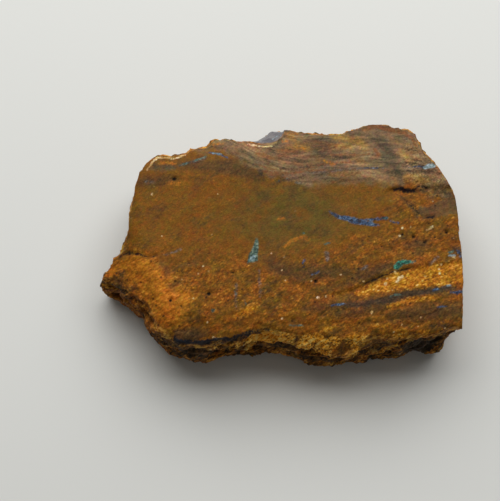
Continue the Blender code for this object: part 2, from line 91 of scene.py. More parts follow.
# The marks on the top: each is a brush stroke of points (x, y, half width).
# They are sheets in the rock, so below the top face they carry on down against DIP.
STROKES = {
    "blue": [
        # The long streak with its upper branch and its tail
        [(3.4, 1.55, .05), (4.1, 1.15, .14), (5.1, .85, .21), (6.25, .6, .19), (7.1, .5, .05)],
        [(5.8, .85, .07), (6.8, .95, .09), (7.65, .95, .09)],
        [(7.9, .7, .05), (8.5, .65, .08)],
        # The seam that runs to the right rim
        [(6.2, 4.8, .03), (6.9, 4.85, .05), (7.5, 4.85, .03)],
        [(9.6, 4.9, .03), (10.1, 4.9, .06), (10.5, 4.85, .06)],
        # Upper left
        [(-5.2, 6.3, .05), (-4.5, 6.15, .11), (-3.7, 5.75, .05)],
        # The low seam and the right edge
        [(10.75, -4.4, .06), (11.1, -4.35, .09)],
        [(12.0, -4.55, .05), (12.5, -4.6, .11), (13.2, -4.5, .11)],
        [(12.7, -1.5, .10), (12.95, -1.7, .13), (12.9, -1.9, .10)],
        # Small marks
        [(1.6, -2.1, .05), (1.45, -2.35, .06), (1.55, -2.65, .04)],
        [(2.1, -3.25, .04), (2.4, -3.15, .06), (2.65, -3.0, .04)],
        [(11.05, -5.65, .05), (11.7, -5.65, .05)],
        [(3.5, -5.5, .05), (4.0, -5.4, .08), (4.55, -5.35, .05)],
    ],
    "teal": [
        [(-7.4, 5.25, .05), (-7.0, 5.3, .08), (-6.7, 5.4, .05)],
        [(-6.25, 5.6, .07), (-5.4, 6.0, .05)],
        [(7.4, .95, .06), (7.7, .95, .06)],
        [(-.2, 3.85, .02), (-.1, 3.9, .03)],
        [(.3, 4.05, .03), (.5, 4.1, .03)],
        [(.95, 4.2, .02), (1.1, 4.25, .03)],
        [(-3.35, -4.35, .04), (-3.35, -4.6, .06)],
        [(-2.7, -5.05, .05), (-2.7, -5.4, .05)],
        [(9.35, -2.3, .07), (9.6, -2.25, .08)],
        [(3.1, -.95, .05), (3.4, -.85, .06)],
        [(1.55, -.15, .07), (1.65, -.15, .07)],
        [(.55, -6.75, .04), (1.5, -6.75, .05)],
        [(-5.0, -5.75, .10), (-4.9, -5.7, .10)],
        [(7.75, -4.85, .07), (8.1, -4.7, .10), (8.45, -4.65, .06)],
        [(12.1, -1.6, .09), (12.35, -1.5, .09)],
    ],
    "green": [
        # The spot above the scar and its arm
        [(8.25, -2.65, .22), (8.4, -2.5, .24), (8.7, -2.3, .16), (9.2, -2.25, .12)],
    ],
    "slate": [
        [(10.7, -2.4, .09), (10.95, -2.2, .13), (11.25, -1.95, .11)],
        [(5.7, -2.9, .08), (5.95, -2.75, .11), (6.15, -2.6, .08)],
        [(3.2, -1.6, .13), (3.25, -1.85, .18), (3.25, -2.15, .13)],
        [(-1.65, -2.85, .04), (-1.6, -3.8, .09), (-1.6, -4.85, .05)],
        [(-3.35, -3.85, .05), (-3.35, -4.6, .10), (-3.35, -5.45, .05)],
        [(-9.9, 3.85, .08), (-9.3, 3.85, .08)],
        [(-7.4, 5.2, .08), (-6.0, 5.65, .10), (-5.45, 5.85, .08)],
        [(-8.55, -1.65, .03), (-7.9, -1.45, .06), (-7.2, -1.2, .04)],
        [(11.5, -4.2, .08), (11.8, -4.15, .12), (12.1, -4.1, .10)],
        [(5.2, 4.75, .05), (3.5, 4.6, .05), (2.4, 4.45, .04)],
        [(1.0, 3.75, .05), (1.7, 3.7, .06)],
        [(5.3, 4.75, .05), (6.6, 4.8, .08), (7.5, 4.85, .05)],
        [(9.0, 4.85, .05), (10.3, 4.85, .07)],
    ],
    "pale": [
        [(10.55, 4.8, .09), (10.85, 4.95, .20), (11.2, 5.0, .17)],
        [(-2.35, -2.15, .06), (-2.15, -2.0, .16), (-2.0, -1.85, .12)],
        [(-.3, 7.95, .03), (.05, 8.4, .05), (.4, 8.75, .03)],
        [(-4.9, 6.25, .05), (-4.3, 6.1, .05)],
        [(12.05, -1.85, .05), (12.5, -1.8, .06)],
        [(11.8, -4.1, .05), (12.0, -4.05, .05)],
    ],
    "shadow_line": [
        # Painted shadow lines: a pit, and the steps around the plum face
        [(-7.9, 4.1, .07), (-7.7, 4.1, .07)],
        [(10.5, .95, .04), (10.8, 1.0, .06), (11.1, 1.05, .04)],
        [(9.0, 2.35, .02), (9.5, 1.85, .05), (9.9, 1.3, .05), (10.15, .95, .02)],
        # The crack at the right and its branch, painted black as their shadow
        [(8.2, 3.2, .05), (8.7, 3.25, .13), (9.25, 3.05, .10), (9.7, 3.1, .08),
         (10.0, 3.35, .07), (10.4, 3.35, .08), (10.8, 3.3, .04)],
        # The painted shadow under the lip of the scar
        [(5.9, -3.85, .02), (7.15, -3.3, .05), (8.3, -2.95, .04), (9.55, -2.65, .02)],
        # The painted shadow of the step behind the left tip
        [(-12.3, -1.0, .04), (-11.5, -.85, .04), (-11.05, -.95, .06), (-10.6, -1.3, .06),
         (-9.55, -1.75, .05), (-8.95, -1.65, .03)],
    ],
    # The thin blue-black line along the top of the front rim
    "dark_rim_line": [
        [(-7.6, -7.15, .07), (-7.4, -7.4, .11), (-6.6, -7.5, .10), (-5.1, -7.55, .09),
         (-4.3, -7.5, .06), (-3.5, -7.4, .07), (-2.9, -7.3, .06), (-2.2, -7.05, .06),
         (-1.5, -6.85, .05), (-.9, -6.9, .03)],
    ],
    "dark": [
        # The S-shaped path left of the bands
        [(-1.5, 4.6, .06), (-1.35, 4.2, .10), (-1.25, 3.95, .05)],
        [(.2, 7.6, .06), (-.2, 7.1, .09), (-.5, 6.8, .06)],
        # Thin lines inside the rim and between the bands
        [(-9.0, 5.75, .04), (-8.25, 5.65, .05), (-7.05, 5.95, .04)],
        [(-.1, 4.8, .04), (.9, 4.8, .05), (2.0, 4.95, .04)],
        [(3.65, 5.75, .04), (5.15, 5.85, .04)],
        [(8.55, 4.4, .11), (9.0, 4.35, .13)],
        [(9.35, 4.55, .10), (9.8, 4.35, .10)],
        [(-.9, 3.55, .05), (.2, 3.9, .10), (1.0, 4.05, .10), (1.7, 4.2, .05)],
        # The low seam
        [(4.6, -5.5, .12), (6.3, -5.3, .22), (7.6, -5.05, .27), (8.95, -4.7, .24),
         (10.4, -4.5, .26), (11.85, -4.3, .26), (13.2, -4.55, .16)],
        [(12.35, -1.25, .16), (12.75, -1.4, .24), (12.9, -1.9, .15)],
        # The painted shadow of the crest left of the plum face
        [(8.6, 2.8, .06), (9.05, 2.3, .10), (9.55, 1.8, .10), (10.1, 1.05, .06)],
        [(9.8, 3.15, .06), (10.3, 3.15, .12), (10.7, 3.15, .05)],
        # Painted shade in the recesses of the front rim and of the tip
        [(10.65, -6.95, .10), (11.25, -6.85, .16), (11.9, -6.85, .10)],
        [(-11.75, -1.8, .06), (-11.3, -2.05, .20), (-11.0, -2.85, .14), (-10.3, -3.45, .08)],
    ],
    "red": [
        [(6.3, 8.3, .10), (7.4, 8.55, .20), (8.4, 8.3, .14), (9.4, 8.0, .16), (9.95, 7.5, .16),
         (10.15, 6.75, .10)],
        [(-1.85, 5.25, .06), (-1.3, 5.0, .08), (-.4, 4.7, .08), (.7, 4.75, .07),
         (1.8, 4.8, .07), (2.8, 5.0, .05), (3.7, 5.5, .05)],
        [(-1.7, 6.2, .14), (-1.1, 6.0, .20), (-.55, 5.7, .14)],
        [(-.2, 6.55, .10), (.45, 6.45, .14), (1.1, 6.35, .10)],
        [(-1.25, 4.6, .12), (-.65, 4.4, .16), (.8, 4.5, .10), (2.5, 4.7, .08), (4.3, 4.5, .12)],
        [(3.6, 5.3, .06), (4.4, 5.3, .09), (5.2, 5.4, .06)],
        [(3.55, 4.35, .15), (4.65, 4.3, .20), (5.75, 4.45, .14)],
        [(3.7, 5.95, .05), (4.85, 6.05, .06), (5.95, 5.95, .05), (6.7, 6.1, .04)],
        [(7.0, 6.5, .14), (7.3, 6.0, .18)],
        [(3.7, 3.8, .07), (4.0, 3.8, .06)],
        [(-.4, 5.9, .04), (.6, 5.95, .05), (1.6, 5.95, .04)],
    ],
    "orange": [
        [(-5.05, 7.05, .06), (-4.65, 7.15, .09), (-4.3, 7.15, .08)],
        [(-8.8, 5.4, .10), (-8.25, 5.45, .12), (-7.75, 5.3, .09)],
        [(-8.05, 3.75, .06), (-7.45, 3.75, .09)],
        [(.5, 8.1, .06), (.95, 8.1, .11), (1.35, 8.0, .06)],
        [(.3, 7.35, .09), (.65, 7.35, .08)],
        [(1.45, 6.7, .09), (1.8, 6.65, .12)],
        [(3.3, 5.45, .09), (3.8, 5.2, .11)],
        [(-.15, 1.0, .06), (.15, 1.0, .07)],
        [(.2, -1.15, .08), (.7, -.7, .11), (1.5, -.4, .09), (2.0, -.65, .06)],
        [(7.65, -5.8, .05), (8.65, -5.6, .07)],
    ],
    "gold": [
        # The scar, from its narrow end to the right rim
        [(5.3, -4.55, .12), (6.7, -4.15, .38), (8.3, -3.7, .62), (10.3, -3.4, .80),
         (11.8, -3.2, .85), (13.2, -3.1, .85)],
        [(7.5, -5.55, .08), (9.25, -5.1, .19), (11.1, -4.95, .14)],
        [(-3.35, -6.2, .11), (-2.6, -5.85, .26), (-1.85, -5.45, .19)],
        [(6.4, -6.9, .07), (6.95, -6.9, .08)],
        [(8.2, -7.2, .04), (8.7, -7.2, .10), (9.1, -7.2, .04)],
        [(9.65, -7.3, .05), (10.0, -7.25, .11), (10.3, -7.3, .05)],
        [(9.25, -6.65, .04), (9.6, -6.65, .06)],
        [(3.0, -7.1, .04), (3.6, -6.9, .08)],
        [(6.95, -6.95, .04), (7.5, -6.75, .08)],
        [(4.6, -7.5, .05), (5.4, -7.4, .08), (6.1, -7.4, .04)],
    ],
    # Clusters of golden crystals, which show only below the front rim
    "crystal": [
        [(-2.3, -7.1, .10), (-1.3, -6.4, .38), (-.4, -6.5, .34), (.3, -6.9, .32), (.9, -7.35, .08)],
        [(1.35, -7.45, .07), (2.1, -7.4, .16), (2.9, -7.35, .12)],
        [(2.7, -7.6, .07), (3.5, -7.6, .18), (4.3, -7.6, .12)],
        [(2.3, -6.85, .08), (2.85, -7.4, .14), (3.5, -7.75, .07)],
        [(4.6, -7.65, .08), (5.4, -7.55, .13), (6.1, -7.5, .06)],
        [(5.3, -7.85, .04), (5.7, -7.75, .06)],
        [(7.1, -6.75, .04), (7.7, -6.6, .10)],
        [(8.45, -6.45, .05), (8.65, -7.1, .08)],
        [(.1, -5.7, .06), (.35, -6.0, .06)],
        [(-3.1, -6.6, .06), (-2.95, -7.3, .05)],
        [(-4.55, -7.55, .03), (-4.3, -7.55, .05)],
    ],
    # The redder wall under the left tip
    "russet": [
        [(-12.4, -.6, .30), (-11.4, -1.1, .35), (-10.6, -2.0, .45), (-9.9, -3.3, .60),
         (-9.4, -4.8, .40), (-9.0, -5.8, .25)],
    ],
    # The dark wall under the rim line, and the gaps between the golden clusters: dark rock, partly
    # painted shade under the rim and between the clusters
    "dark_rock_and_shade": [
        [(-7.3, -7.1, .40), (-6.1, -7.0, .45), (-4.9, -6.7, .45), (-3.4, -5.9, .40),
         (-2.0, -5.4, .35)],
        [(-1.6, -6.0, .15), (-.25, -5.4, .30), (.75, -5.8, .30), (1.4, -6.1, .30)],
        [(1.1, -7.4, .10), (1.15, -7.0, .16), (1.35, -6.1, .25)],
        [(4.25, -7.3, .08), (4.45, -7.7, .12), (4.4, -8.0, .10)],
        [(6.15, -7.35, .08), (7.6, -6.7, .16), (8.5, -6.8, .16)],
    ],
    "cream": [
        # The chipped back rim at the upper left: pale rock, partly a painted highlight where the light
        # from behind catches the edge
        [(-9.8, 4.8, .04), (-9.4, 5.5, .06), (-8.95, 5.95, .09), (-7.8, 5.8, .06),
         (-6.9, 6.15, .05)],
        [(-2.35, 7.1, .05), (-1.85, 6.95, .08), (-1.2, 6.85, .06), (-.55, 6.9, .08)],
        [(12.3, -1.95, .04), (12.5, -2.0, .07)],
        [(10.5, .0, .04), (10.95, .35, .04)],
        [(8.2, -3.75, .08), (8.45, -3.45, .14), (8.65, -3.3, .10)],
    ],
    # Broad tints: golden and shaded parts of the bands, brighter orange, greyer brown
    "amber": [
        [(.75, 6.75, .12), (1.45, 6.85, .22), (2.15, 6.6, .12)],
        [(.75, 7.85, .12), (1.1, 7.5, .20), (1.4, 7.1, .12)],
        [(3.85, 6.8, .15), (4.5, 6.85, .25), (5.2, 6.75, .20)],
        [(4.1, 7.65, .20), (4.95, 7.5, .33), (5.9, 7.2, .33), (6.3, 6.7, .20)],
        [(5.2, 5.65, .10), (5.9, 5.5, .15), (6.3, 5.3, .07)],
        [(8.9, 6.4, .15), (9.25, 5.9, .20), (9.4, 5.4, .10)],
        [(8.95, 4.1, .22), (9.8, 4.1, .28), (10.6, 3.8, .20)],
    ],
    "shade": [
        [(2.1, 7.75, .15), (2.9, 7.65, .25), (3.8, 7.5, .15)],
        [(.6, 5.6, .14), (1.3, 5.5, .26), (2.0, 5.4, .16)],
        [(2.65, 6.4, .12), (3.15, 6.0, .18), (3.4, 5.7, .10)],
        [(.5, 8.2, .08), (.5, 7.95, .10), (.15, 7.4, .12), (-.2, 6.95, .16), (-.6, 6.45, .18),
         (-.8, 6.0, .12)],
        [(-2.2, 6.1, .08), (-1.9, 5.5, .10), (-1.6, 4.9, .14), (-1.35, 4.3, .16)],
        [(3.7, 5.6, .03), (4.8, 5.7, .06), (6.0, 5.65, .04)],
        [(8.4, 5.0, .25), (8.7, 4.2, .25), (8.8, 3.4, .18)],
        [(10.8, 2.6, .20), (11.6, 3.1, .35), (12.2, 2.7, .35)],
        [(-9.6, 5.0, .15), (-8.0, 5.0, .20)],
    ],
    "ember": [
        [(-12.2, -1.7, .5), (-11.0, -2.2, 1.1), (-9.6, -3.4, 1.5), (-8.0, -5.0, 1.4)],
    ],
    "umber": [
        [(4.7, -3.7, .25), (6.3, -3.1, .35), (7.8, -2.6, .30)],
        [(7.8, -6.1, .30), (10.2, -6.0, .55), (12.6, -5.9, .50)],
        [(-.6, -2.6, .50), (1.6, -3.2, .60), (3.4, -3.0, .50)],
        [(9.2, -1.1, .30), (10.2, -1.0, .35)],
        [(-10.3, 3.9, .35), (-8.9, 4.0, .40), (-7.9, 4.1, .25)],
        [(-9.2, 5.2, .25), (-6.5, 5.2, .40), (-3.5, 5.0, .70), (-1.8, 4.2, .50)],
        [(4.0, -6.0, .25), (6.5, -5.7, .35), (8.5, -5.4, .25)],
        [(-10.9, 3.6, .10), (-11.2, 1.5, .30), (-11.4, -.2, .15)],
        [(-8.7, -2.2, .20), (-8.3, -2.9, .25)],
        [(-7.9, -3.9, .25), (-7.45, -3.6, .20)],
        [(3.7, -2.75, .20), (4.55, -3.05, .30), (5.35, -3.35, .20)],
        [(9.65, -.7, .20), (9.85, -1.45, .30)],
        [(1.5, -5.65, .15), (3.65, -5.45, .30), (6.3, -5.3, .35), (8.95, -4.7, .35),
         (11.85, -4.3, .35)],
    ],
}

# Outlined patches, in the same plane as the strokes
PATCHES = {
    "teal": [
        [(-1.8, -.35), (-1.7, -.8), (-1.75, -2.15), (-2.15, -2.25), (-2.6, -2.4),
         (-2.3, -1.55), (-2.0, -.8)],
    ],
    "plum": [
        [(10.05, 1.8), (10.6, 1.75), (11.2, 2.0), (11.6, 2.4), (12.2, 2.5), (13.2, 2.5),
         (13.2, 1.3), (12.2, 1.2), (11.1, .95), (10.35, .9), (9.75, 1.4)],
        # The lump of the tip
        [(-12.15, -1.7), (-11.7, -1.85), (-11.4, -2.05), (-10.95, -2.5), (-11.3, -2.55),
         (-11.65, -2.35), (-12.1, -2.05)],
    ],
    # The dark patch across the bands at the upper right
    "shade": [
        [(6.5, 7.8), (8.1, 7.7), (8.15, 6.7), (8.5, 6.0), (8.4, 5.0), (7.6, 5.0), (7.4, 5.85),
         (7.2, 6.8), (6.7, 7.5)],
    ],
    "dark": [
        # The shaded corner left of the plum face
        [(9.4, 1.9), (10.05, 1.45), (10.0, 1.1), (10.4, .75), (9.8, .9), (9.55, 1.3)],
    ],
    # The glassy facet of the back rim, which slopes away from the top
    "facet": [
        [(-2.6, 7.7), (-2.0, 7.55), (-.65, 7.45), (-.15, 7.5), (.2, 7.75), (.6, 8.2), (.9, 8.6),
         (.9, 9.8), (-2.6, 9.8)],
    ],
    # The recessed face under the right end of the front rim, painted dark as its shade
    "shaded_recess": [
        [(9.5, -6.85), (10.15, -7.15), (10.7, -7.2), (11.65, -6.9), (12.7, -5.7), (12.2, -5.4),
         (11.4, -5.7), (10.2, -6.4)],
    ],
}

# Single grains and holes of the top: (x, y, half width)
SPECKS = [
    (8.75, .25, .10), (9.35, .3, .06), (8.15, -3.05, .09), (11.45, -2.45, .08),
    (7.45, -3.95, .06), (7.9, -4.35, .05), (8.9, -3.4, .05), (11.3, -2.8, .07),
    (11.35, -3.15, .10), (10.3, -3.35, .09), (7.45, -3.8, .10), (6.4, -5.95, .11),
    (8.55, -6.75, .07), (9.9, -6.35, .06), (6.95, -4.3, .07), (2.55, -4.9, .11),
    (3.15, -4.8, .07), (4.2, -3.2, .08), (.2, -3.6, .06), (-.05, -2.85, .06),
    (-9.4, 2.95, .09), (-9.3, 3.5, .05), (-4.6, 2.9, .06), (-8.7, -.2, .06),
    (-5.7, -2.45, .06), (-5.3, -2.85, .06), (-6.05, -3.0, .06), (-7.15, -3.4, .06),
    (-6.35, -4.85, .06), (-5.35, -6.45, .06), (-4.9, -7.4, .08), (-.8, -1.6, .07),
    (-5.05, -.15, .06), (11.0, 2.2, .05),
]
PITS = [
    (9.55, -.4, .08), (10.3, -.85, .08), (8.75, -.25, .08), (7.2, -1.1, .07), (11.95, -.1, .09),
    (2.4, -3.7, .10), (-3.55, -3.0, .07), (-5.25, -4.55, .13), (-8.05, -4.95, .11),
    (-7.25, -5.4, .07), (-6.65, -2.25, .06), (-7.8, 4.1, .08),
]

# Zones of the top: the ground in front of GRAIN_LINE is grainy, and behind BAND_LINE it is banded
GRAIN_LINE = [(-12.5, -.6), (-9.55, -1.4), (-5.9, -2.0), (-3.0, -2.1), (-1.5, -3.0),
              (1.25, -2.1), (4.2, -1.3), (7.1, -.2), (8.3, 1.8), (9.3, 6.0), (12.8, 9.0)]
BAND_LINE = [(-8.5, 6.6), (-4.0, 6.35), (-2.3, 5.05), (-1.4, 4.5), (.3, 3.85), (1.4, 3.55),
             (3.5, 3.6), (5.75, 3.75), (8.7, 3.6), (10.9, 3.4), (13.0, 3.3)]
OLIVE_CENTRE = (0.8, 1.3)
OLIVE_REACH = (5.4, 3.3)

# These marks keep their width well below the face, and the others get thinner there
EVEN_MARKS = ("crystal", "shaded_recess", "russet", "dark_rock_and_shade", "speck", "pit")
ROUGH_MARKS = ("gold", "ember", "crystal")

# Where each zone begins and where it is whole, by height
TOP_HEIGHTS = (3.7, 4.3)
UNDERSIDE_HEIGHTS = (0.4, 0.1)
LAYER_HEIGHTS = (5.7, 4.3)
PAINTED_RIM_LIGHT_HEIGHTS = (3.4, 4.9)
BELOW_HEIGHTS = (5.62, 5.42)
HIGH_HEIGHTS = (4.8, 5.1)

# By how far up the surface faces, from 1, straight up, to -1, straight down
TOP_FACING = (0.55, 0.80)
UNDERSIDE_FACING = (-0.85, -0.97)
FACET_FACING = (0.985, 0.94)

# And by how far a place lies behind a line or inside a mark
GRAIN_EDGE = (1.6, -1.2)
BAND_EDGE = (-0.35, 0.45)
FACET_EDGE = (-0.06, 0.06)
ROUGH_EDGE = (-0.2, 0.3)
PIT_EDGE = (-0.12, 0.06)
GROOVE_EDGE = (-0.12, 0.04)
RECESS_EDGE = (-0.1, 0.2)
CRYSTAL_EDGE = (-0.1, 0.1)
OLIVE_EDGE = (1.2, 0.3)          # in shares of OLIVE_REACH
UNDERSIDE_PIT_EDGE = (0.1, 0.7)  # in the noise's own measure
GRAINY_ROUGHNESS = 0.6           # of the grainy ground, against 1 on the ROUGH_MARKS

# Steep places this far inside the rim are steps of the top, and those nearer to it are wall
INSIDE_RIM = (0.45, 0.9)
RIM_HEIGHTS = (2.5, 4.0)         # between these heights the walls show where the rim runs
WALL_FACING = 0.4                # a wall faces up less than this
STEP_HEIGHT = 3.8                # steps of the top are above this
STEP_FACING = 0.85               # and face up less than this
FAR_INSIDE = 9.0
NOT_LEVEL = 1e-9                 # keeps the level side of an outline from a division by 0


def smooth_step(start, end, value):
    """Rise smoothly from 0 at start to 1 at end, for an array of values."""
    share = np.clip((value - start) / (end - start), 0.0, 1.0)
    return share * share * (3.0 - 2.0 * share)


def ripples(points, length, seed, octaves=1):
    """Perlin noise of the given length at each point, about -1 to 1."""
    shifted = points / length + seed
    if octaves == 1:
        return np.array([noise.noise(Vector(point)) for point in shifted])
    return np.array([noise.fractal(Vector(point), 1.0, 2.0, octaves) for point in shifted])


def ridges(points, length, seed):
    """Sharp-crested noise with crests at 0.45 and a mean near 0."""
    return 0.45 - 2.0 * np.abs(ripples(points, length, seed))


def even_copy(node):
    """The node's surface as one even mesh of small faces, in millimetres."""
    mesh = node.data.copy()
    mesh.transform(Matrix.Scale(1.0 / MM, 4))
    piece = bpy.data.objects.new("rough_opal_stone", mesh)
    bpy.context.scene.collection.objects.link(piece)
    remesh = piece.modifiers.new("even faces", "REMESH")
    remesh.mode = "VOXEL"
    remesh.voxel_size = VOXEL
    graph = bpy.context.evaluated_depsgraph_get()
    piece.data = bpy.data.meshes.new_from_object(piece.evaluated_get(graph))
    piece.modifiers.clear()
    return piece


def read_vectors(mesh, name):
    """Where the mesh's vertices are ("co") or how they face ("normal"), as an array."""
    values = np.empty(len(mesh.vertices) * 3)
    mesh.vertices.foreach_get(name, values)
    return values.reshape(-1, 3)


def rim_distance(points, normals):
    """How far each sloping point near the top lies inside the rim, seen from above."""
    height = points[:, 2]
    facing = normals[:, 2]
    low, high = RIM_HEIGHTS
    walls = np.flatnonzero((height > low) & (height < high) & (facing < WALL_FACING))
    tree = kdtree.KDTree(len(walls))
    for index in walls:
        tree.insert((points[index, 0], points[index, 1], 0.0), int(index))
    tree.balance()
    distance = np.full(len(points), FAR_INSIDE)
    for index in np.flatnonzero((height > STEP_HEIGHT) & (facing < STEP_FACING)):
        distance[index] = tree.find((points[index, 0], points[index, 1], 0.0))[2]
    return distance


def seam_places(points):
    """Follow each point up along its sheet, to where that sheet is drawn on the top."""
    down = TOP_LEVEL - points[:, 2]
    places = points[:, :2] + down[:, None] * np.array(DIP)
    warp = SEAM_WARP * (down - SEAM_WARP_DEPTH).clip(0.0)
    for axis, seed in enumerate(SEAM_SEEDS):
        places[:, axis] += warp * ripples(points, SEAM_WARP_LENGTH, seed)
    return places


def stroke_field(places, stroke):
    """How deep each place lies inside a stroke, negative outside it."""
    best = np.full(len(places), -np.inf)
    for (x0, y0, half0), (x1, y1, half1) in zip(stroke, stroke[1:]):
        run = np.array((x1 - x0, y1 - y0))
        offset = places - (x0, y0)
        share = np.clip(offset @ run / (run @ run), 0.0, 1.0)
        away = np.hypot(*(offset - share[:, None] * run).T)
        best = np.maximum(best, half0 + (half1 - half0) * share - away)
    return best


def patch_field(places, outline):
    """How deep each place lies inside an outline, negative outside it."""
    closed = [(x, y, 0.0) for x, y in outline + outline[:1]]
    away = -stroke_field(places, closed)
    inside = np.zeros(len(places), bool)
    for (x0, y0, _), (x1, y1, _) in zip(closed, closed[1:]):
        crosses = (places[:, 1] < y0) != (places[:, 1] < y1)
        at = x0 + (places[:, 1] - y0) / (y1 - y0 + NOT_LEVEL) * (x1 - x0)
        inside ^= crosses & (places[:, 0] < at)
    return np.where(inside, away, -away)


def dot_field(places, dots):
    """How deep each place lies inside the nearest round dot, negative outside."""
    fields = [half - np.hypot(places[:, 0] - x, places[:, 1] - y) for x, y, half in dots]
    return np.clip(np.max(fields, axis=0), -1.0, 1.0)


def ink_field(places, ink):
    """How deep each place lies inside the nearest stroke or patch of an ink."""
    fields = [stroke_field(places, stroke) for stroke in STROKES.get(ink, [])]
    fields += [patch_field(places, outline) for outline in PATCHES.get(ink, [])]
    return np.clip(np.max(fields, axis=0), -1.0, 1.0)


def find_marks(places):
    """How deep each place lies inside each kind of mark."""
    marks = {ink: ink_field(places, ink) for ink in {**STROKES, **PATCHES}}
    marks["speck"] = dot_field(places, SPECKS)
    marks["pit"] = dot_field(places, PITS)
    return marks


def behind_line(places, line):
    """How far each place lies behind a line that runs along x."""
    xs, ys = zip(*line)
    return places[:, 1] - np.interp(places[:, 0], xs, ys)


def find_zones(points, normals, places, wander, marks):
    """How far each point belongs to each zone of the surface, 0 to 1."""
    height = points[:, 2]
    facing = normals[:, 2]
    inside = smooth_step(*INSIDE_RIM, rim_distance(points, normals))
    level = np.maximum(smooth_step(*TOP_FACING, facing), inside)
    facet = smooth_step(*FACET_EDGE, marks["facet"]) * smooth_step(*FACET_FACING, facing)
    zoned = places + ZONE_WANDER * wander
    grainy = smooth_step(*GRAIN_EDGE, behind_line(zoned, GRAIN_LINE))
    rough = GRAINY_ROUGHNESS * grainy + sum(smooth_step(*ROUGH_EDGE, marks[ink]) for ink in ROUGH_MARKS)
    from_centre = np.hypot(*((places - OLIVE_CENTRE) / OLIVE_REACH).T)
    return {
        "facet": facet,
        "top": level * smooth_step(*TOP_HEIGHTS, height) * (1.0 - facet),
        "grainy": grainy,
        "rough": np.clip(rough, 0.0, 1.0),
        "banded": smooth_step(*BAND_EDGE, behind_line(zoned, BAND_LINE)),
        "olive": smooth_step(*OLIVE_EDGE, from_centre),
        "painted_rim_light": smooth_step(*PAINTED_RIM_LIGHT_HEIGHTS, height),
        "below": smooth_step(*BELOW_HEIGHTS, height),
        "high": smooth_step(*HIGH_HEIGHTS, height),
    }


def wall_layers(points):
    """Broken layers that rise to the right, as the walls show them."""
    rise = math.radians(WALL_LAYER_RISE)
    along = points[:, 0] * math.cos(rise) + points[:, 2] * math.sin(rise)
    across = -points[:, 0] * math.sin(rise) + points[:, 2] * math.cos(rise)
    layered = np.stack([along, points[:, 1], across * WALL_LAYER_SQUEEZE], axis=1)
    thick = ridges(layered, WALL_LAYER_LENGTH, LAYER_SEEDS[0])
    thin = ridges(layered, WALL_LAYER_LENGTH * THIN_LAYERS, LAYER_SEEDS[1])
    return thick + 0.5 * thin


def find_relief(points, normals, zones, marks):
    """How far each point moves out along its normal."""
    height = points[:, 2]
    facing = normals[:, 2]
    top = zones["top"]
    under = smooth_step(*UNDERSIDE_FACING, facing) * smooth_step(*UNDERSIDE_HEIGHTS, height)
    wall = 1.0 - top - under
    layered = RIM_SHARE + (1.0 - RIM_SHARE) * smooth_step(*LAYER_HEIGHTS, height)
    grain = ripples(points, GRAIN_LENGTH, GRAIN_SEED, 3)
    wave = ripples(points, TOP_WAVE_LENGTH, WAVE_SEED)
    hollows = ripples(points, UNDERSIDE_PIT_LENGTH, UNDERSIDE_SEED, 3)

    relief = top * (TOP_WAVE * wave + (TOP_GRAIN + COARSE_GRAIN * zones["rough"]) * grain)
    relief -= top * PIT_DEPTH * smooth_step(*PIT_EDGE, marks["pit"])
    relief -= top * GROOVE_DEPTH * smooth_step(*GROOVE_EDGE, marks["shadow_line"])
    relief -= (1.0 - top) * RECESS_DEPTH * smooth_step(*RECESS_EDGE, marks["shaded_recess"])
    relief += (wall * (1.0 - zones["facet"]) * layered
               * (WALL_LAYERS * wall_layers(points) + WALL_GRAIN * grain))
    relief += wall * CRYSTAL_GRAIN * smooth_step(*CRYSTAL_EDGE, marks["crystal"]) * grain
    relief -= under * UNDERSIDE_PITS * smooth_step(*UNDERSIDE_PIT_EDGE, hollows)
    return relief


def roughen(mesh):
    """Give the even mesh its relief and store what the material reads."""
    points = read_vectors(mesh, "co")
    normals = read_vectors(mesh, "normal")
    places = seam_places(points)
    wander = np.stack([ripples(points, WANDER_LENGTH, seed, 3) for seed in WANDER_SEEDS], axis=1)
    marks = find_marks(places + MARK_WANDER * wander)
    zones = find_zones(points, normals, places, wander, marks)
    relief = find_relief(points, normals, zones, marks)

    moved = points + normals * relief[:, None]
    moved[:, 2] = np.maximum(moved[:, 2], 0.0)
    mesh.vertices.foreach_set("co", (moved * MM).ravel())

    loss = SINKING * smooth_step(*SINKING_DEPTHS, TOP_LEVEL - points[:, 2])
    fields = {name: field if name in EVEN_MARKS else field - loss for name, field in marks.items()}
    fields.update(zones)                # the facet's zone takes the place of its outline
    fields["flow"] = behind_line(places, BAND_LINE)
    # How far the surface sinks in, which the material paints darker as shade
    fields["hollow"] = -relief
    for name, values in fields.items():
        mesh.attributes.new(name, "FLOAT", "POINT").data.foreach_set("value", values)
    mesh.shade_smooth()
    mesh.update()


def linear(red, green, blue):
    """A colour given as on a screen, 0 to 255, as the linear values that Blender takes."""
    def straight(value):
        share = value / 255
        return share / 12.92 if share <= 0.04045 else ((share + 0.055) / 1.055) ** 2.4
    return straight(red), straight(green), straight(blue), 1.0


